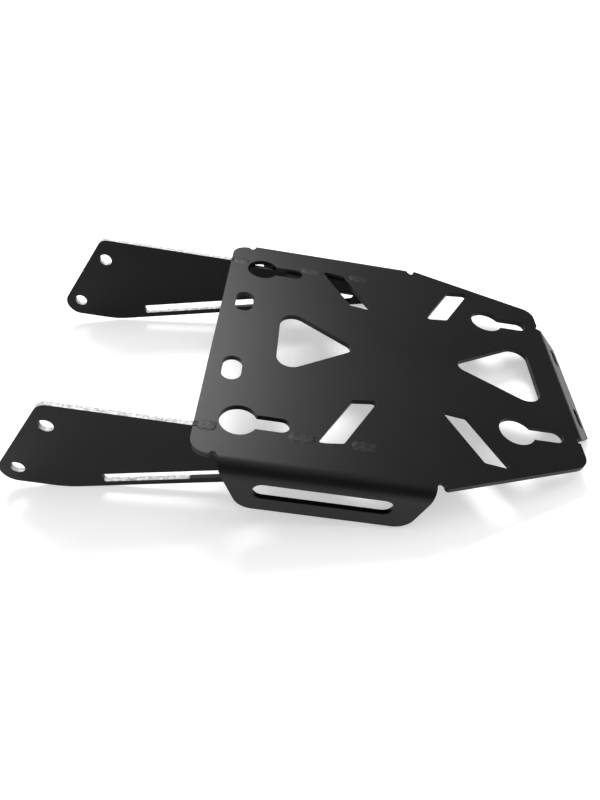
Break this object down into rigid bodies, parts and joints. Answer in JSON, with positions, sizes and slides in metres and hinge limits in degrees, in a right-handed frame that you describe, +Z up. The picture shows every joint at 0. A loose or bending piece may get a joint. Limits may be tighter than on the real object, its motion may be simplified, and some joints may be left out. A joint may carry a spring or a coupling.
{
  "type": "motorcycle luggage rack",
  "caption": "Flat luggage rack of folded black sheet steel with slotted side wings, strap windows, keyholes and staggered bolt-on side plates.",
  "frame": {"origin": "middle of the deck's flat upper face, half way along its length", "axes": "+X to the rear, +Y to the right, +Z up, square to the deck"},
  "size_m": [0.3557, 0.217, 0.0679],
  "materials": {
    "coat": "satin",
    "weld": "satin"
  },
  "bodies": {
    "root": {"top_plate": "coat", "left_side_plate": "coat", "right_side_plate": "coat", "left_weld_beads": "weld", "right_weld_beads": "weld"}
  },
  "joints": []
}
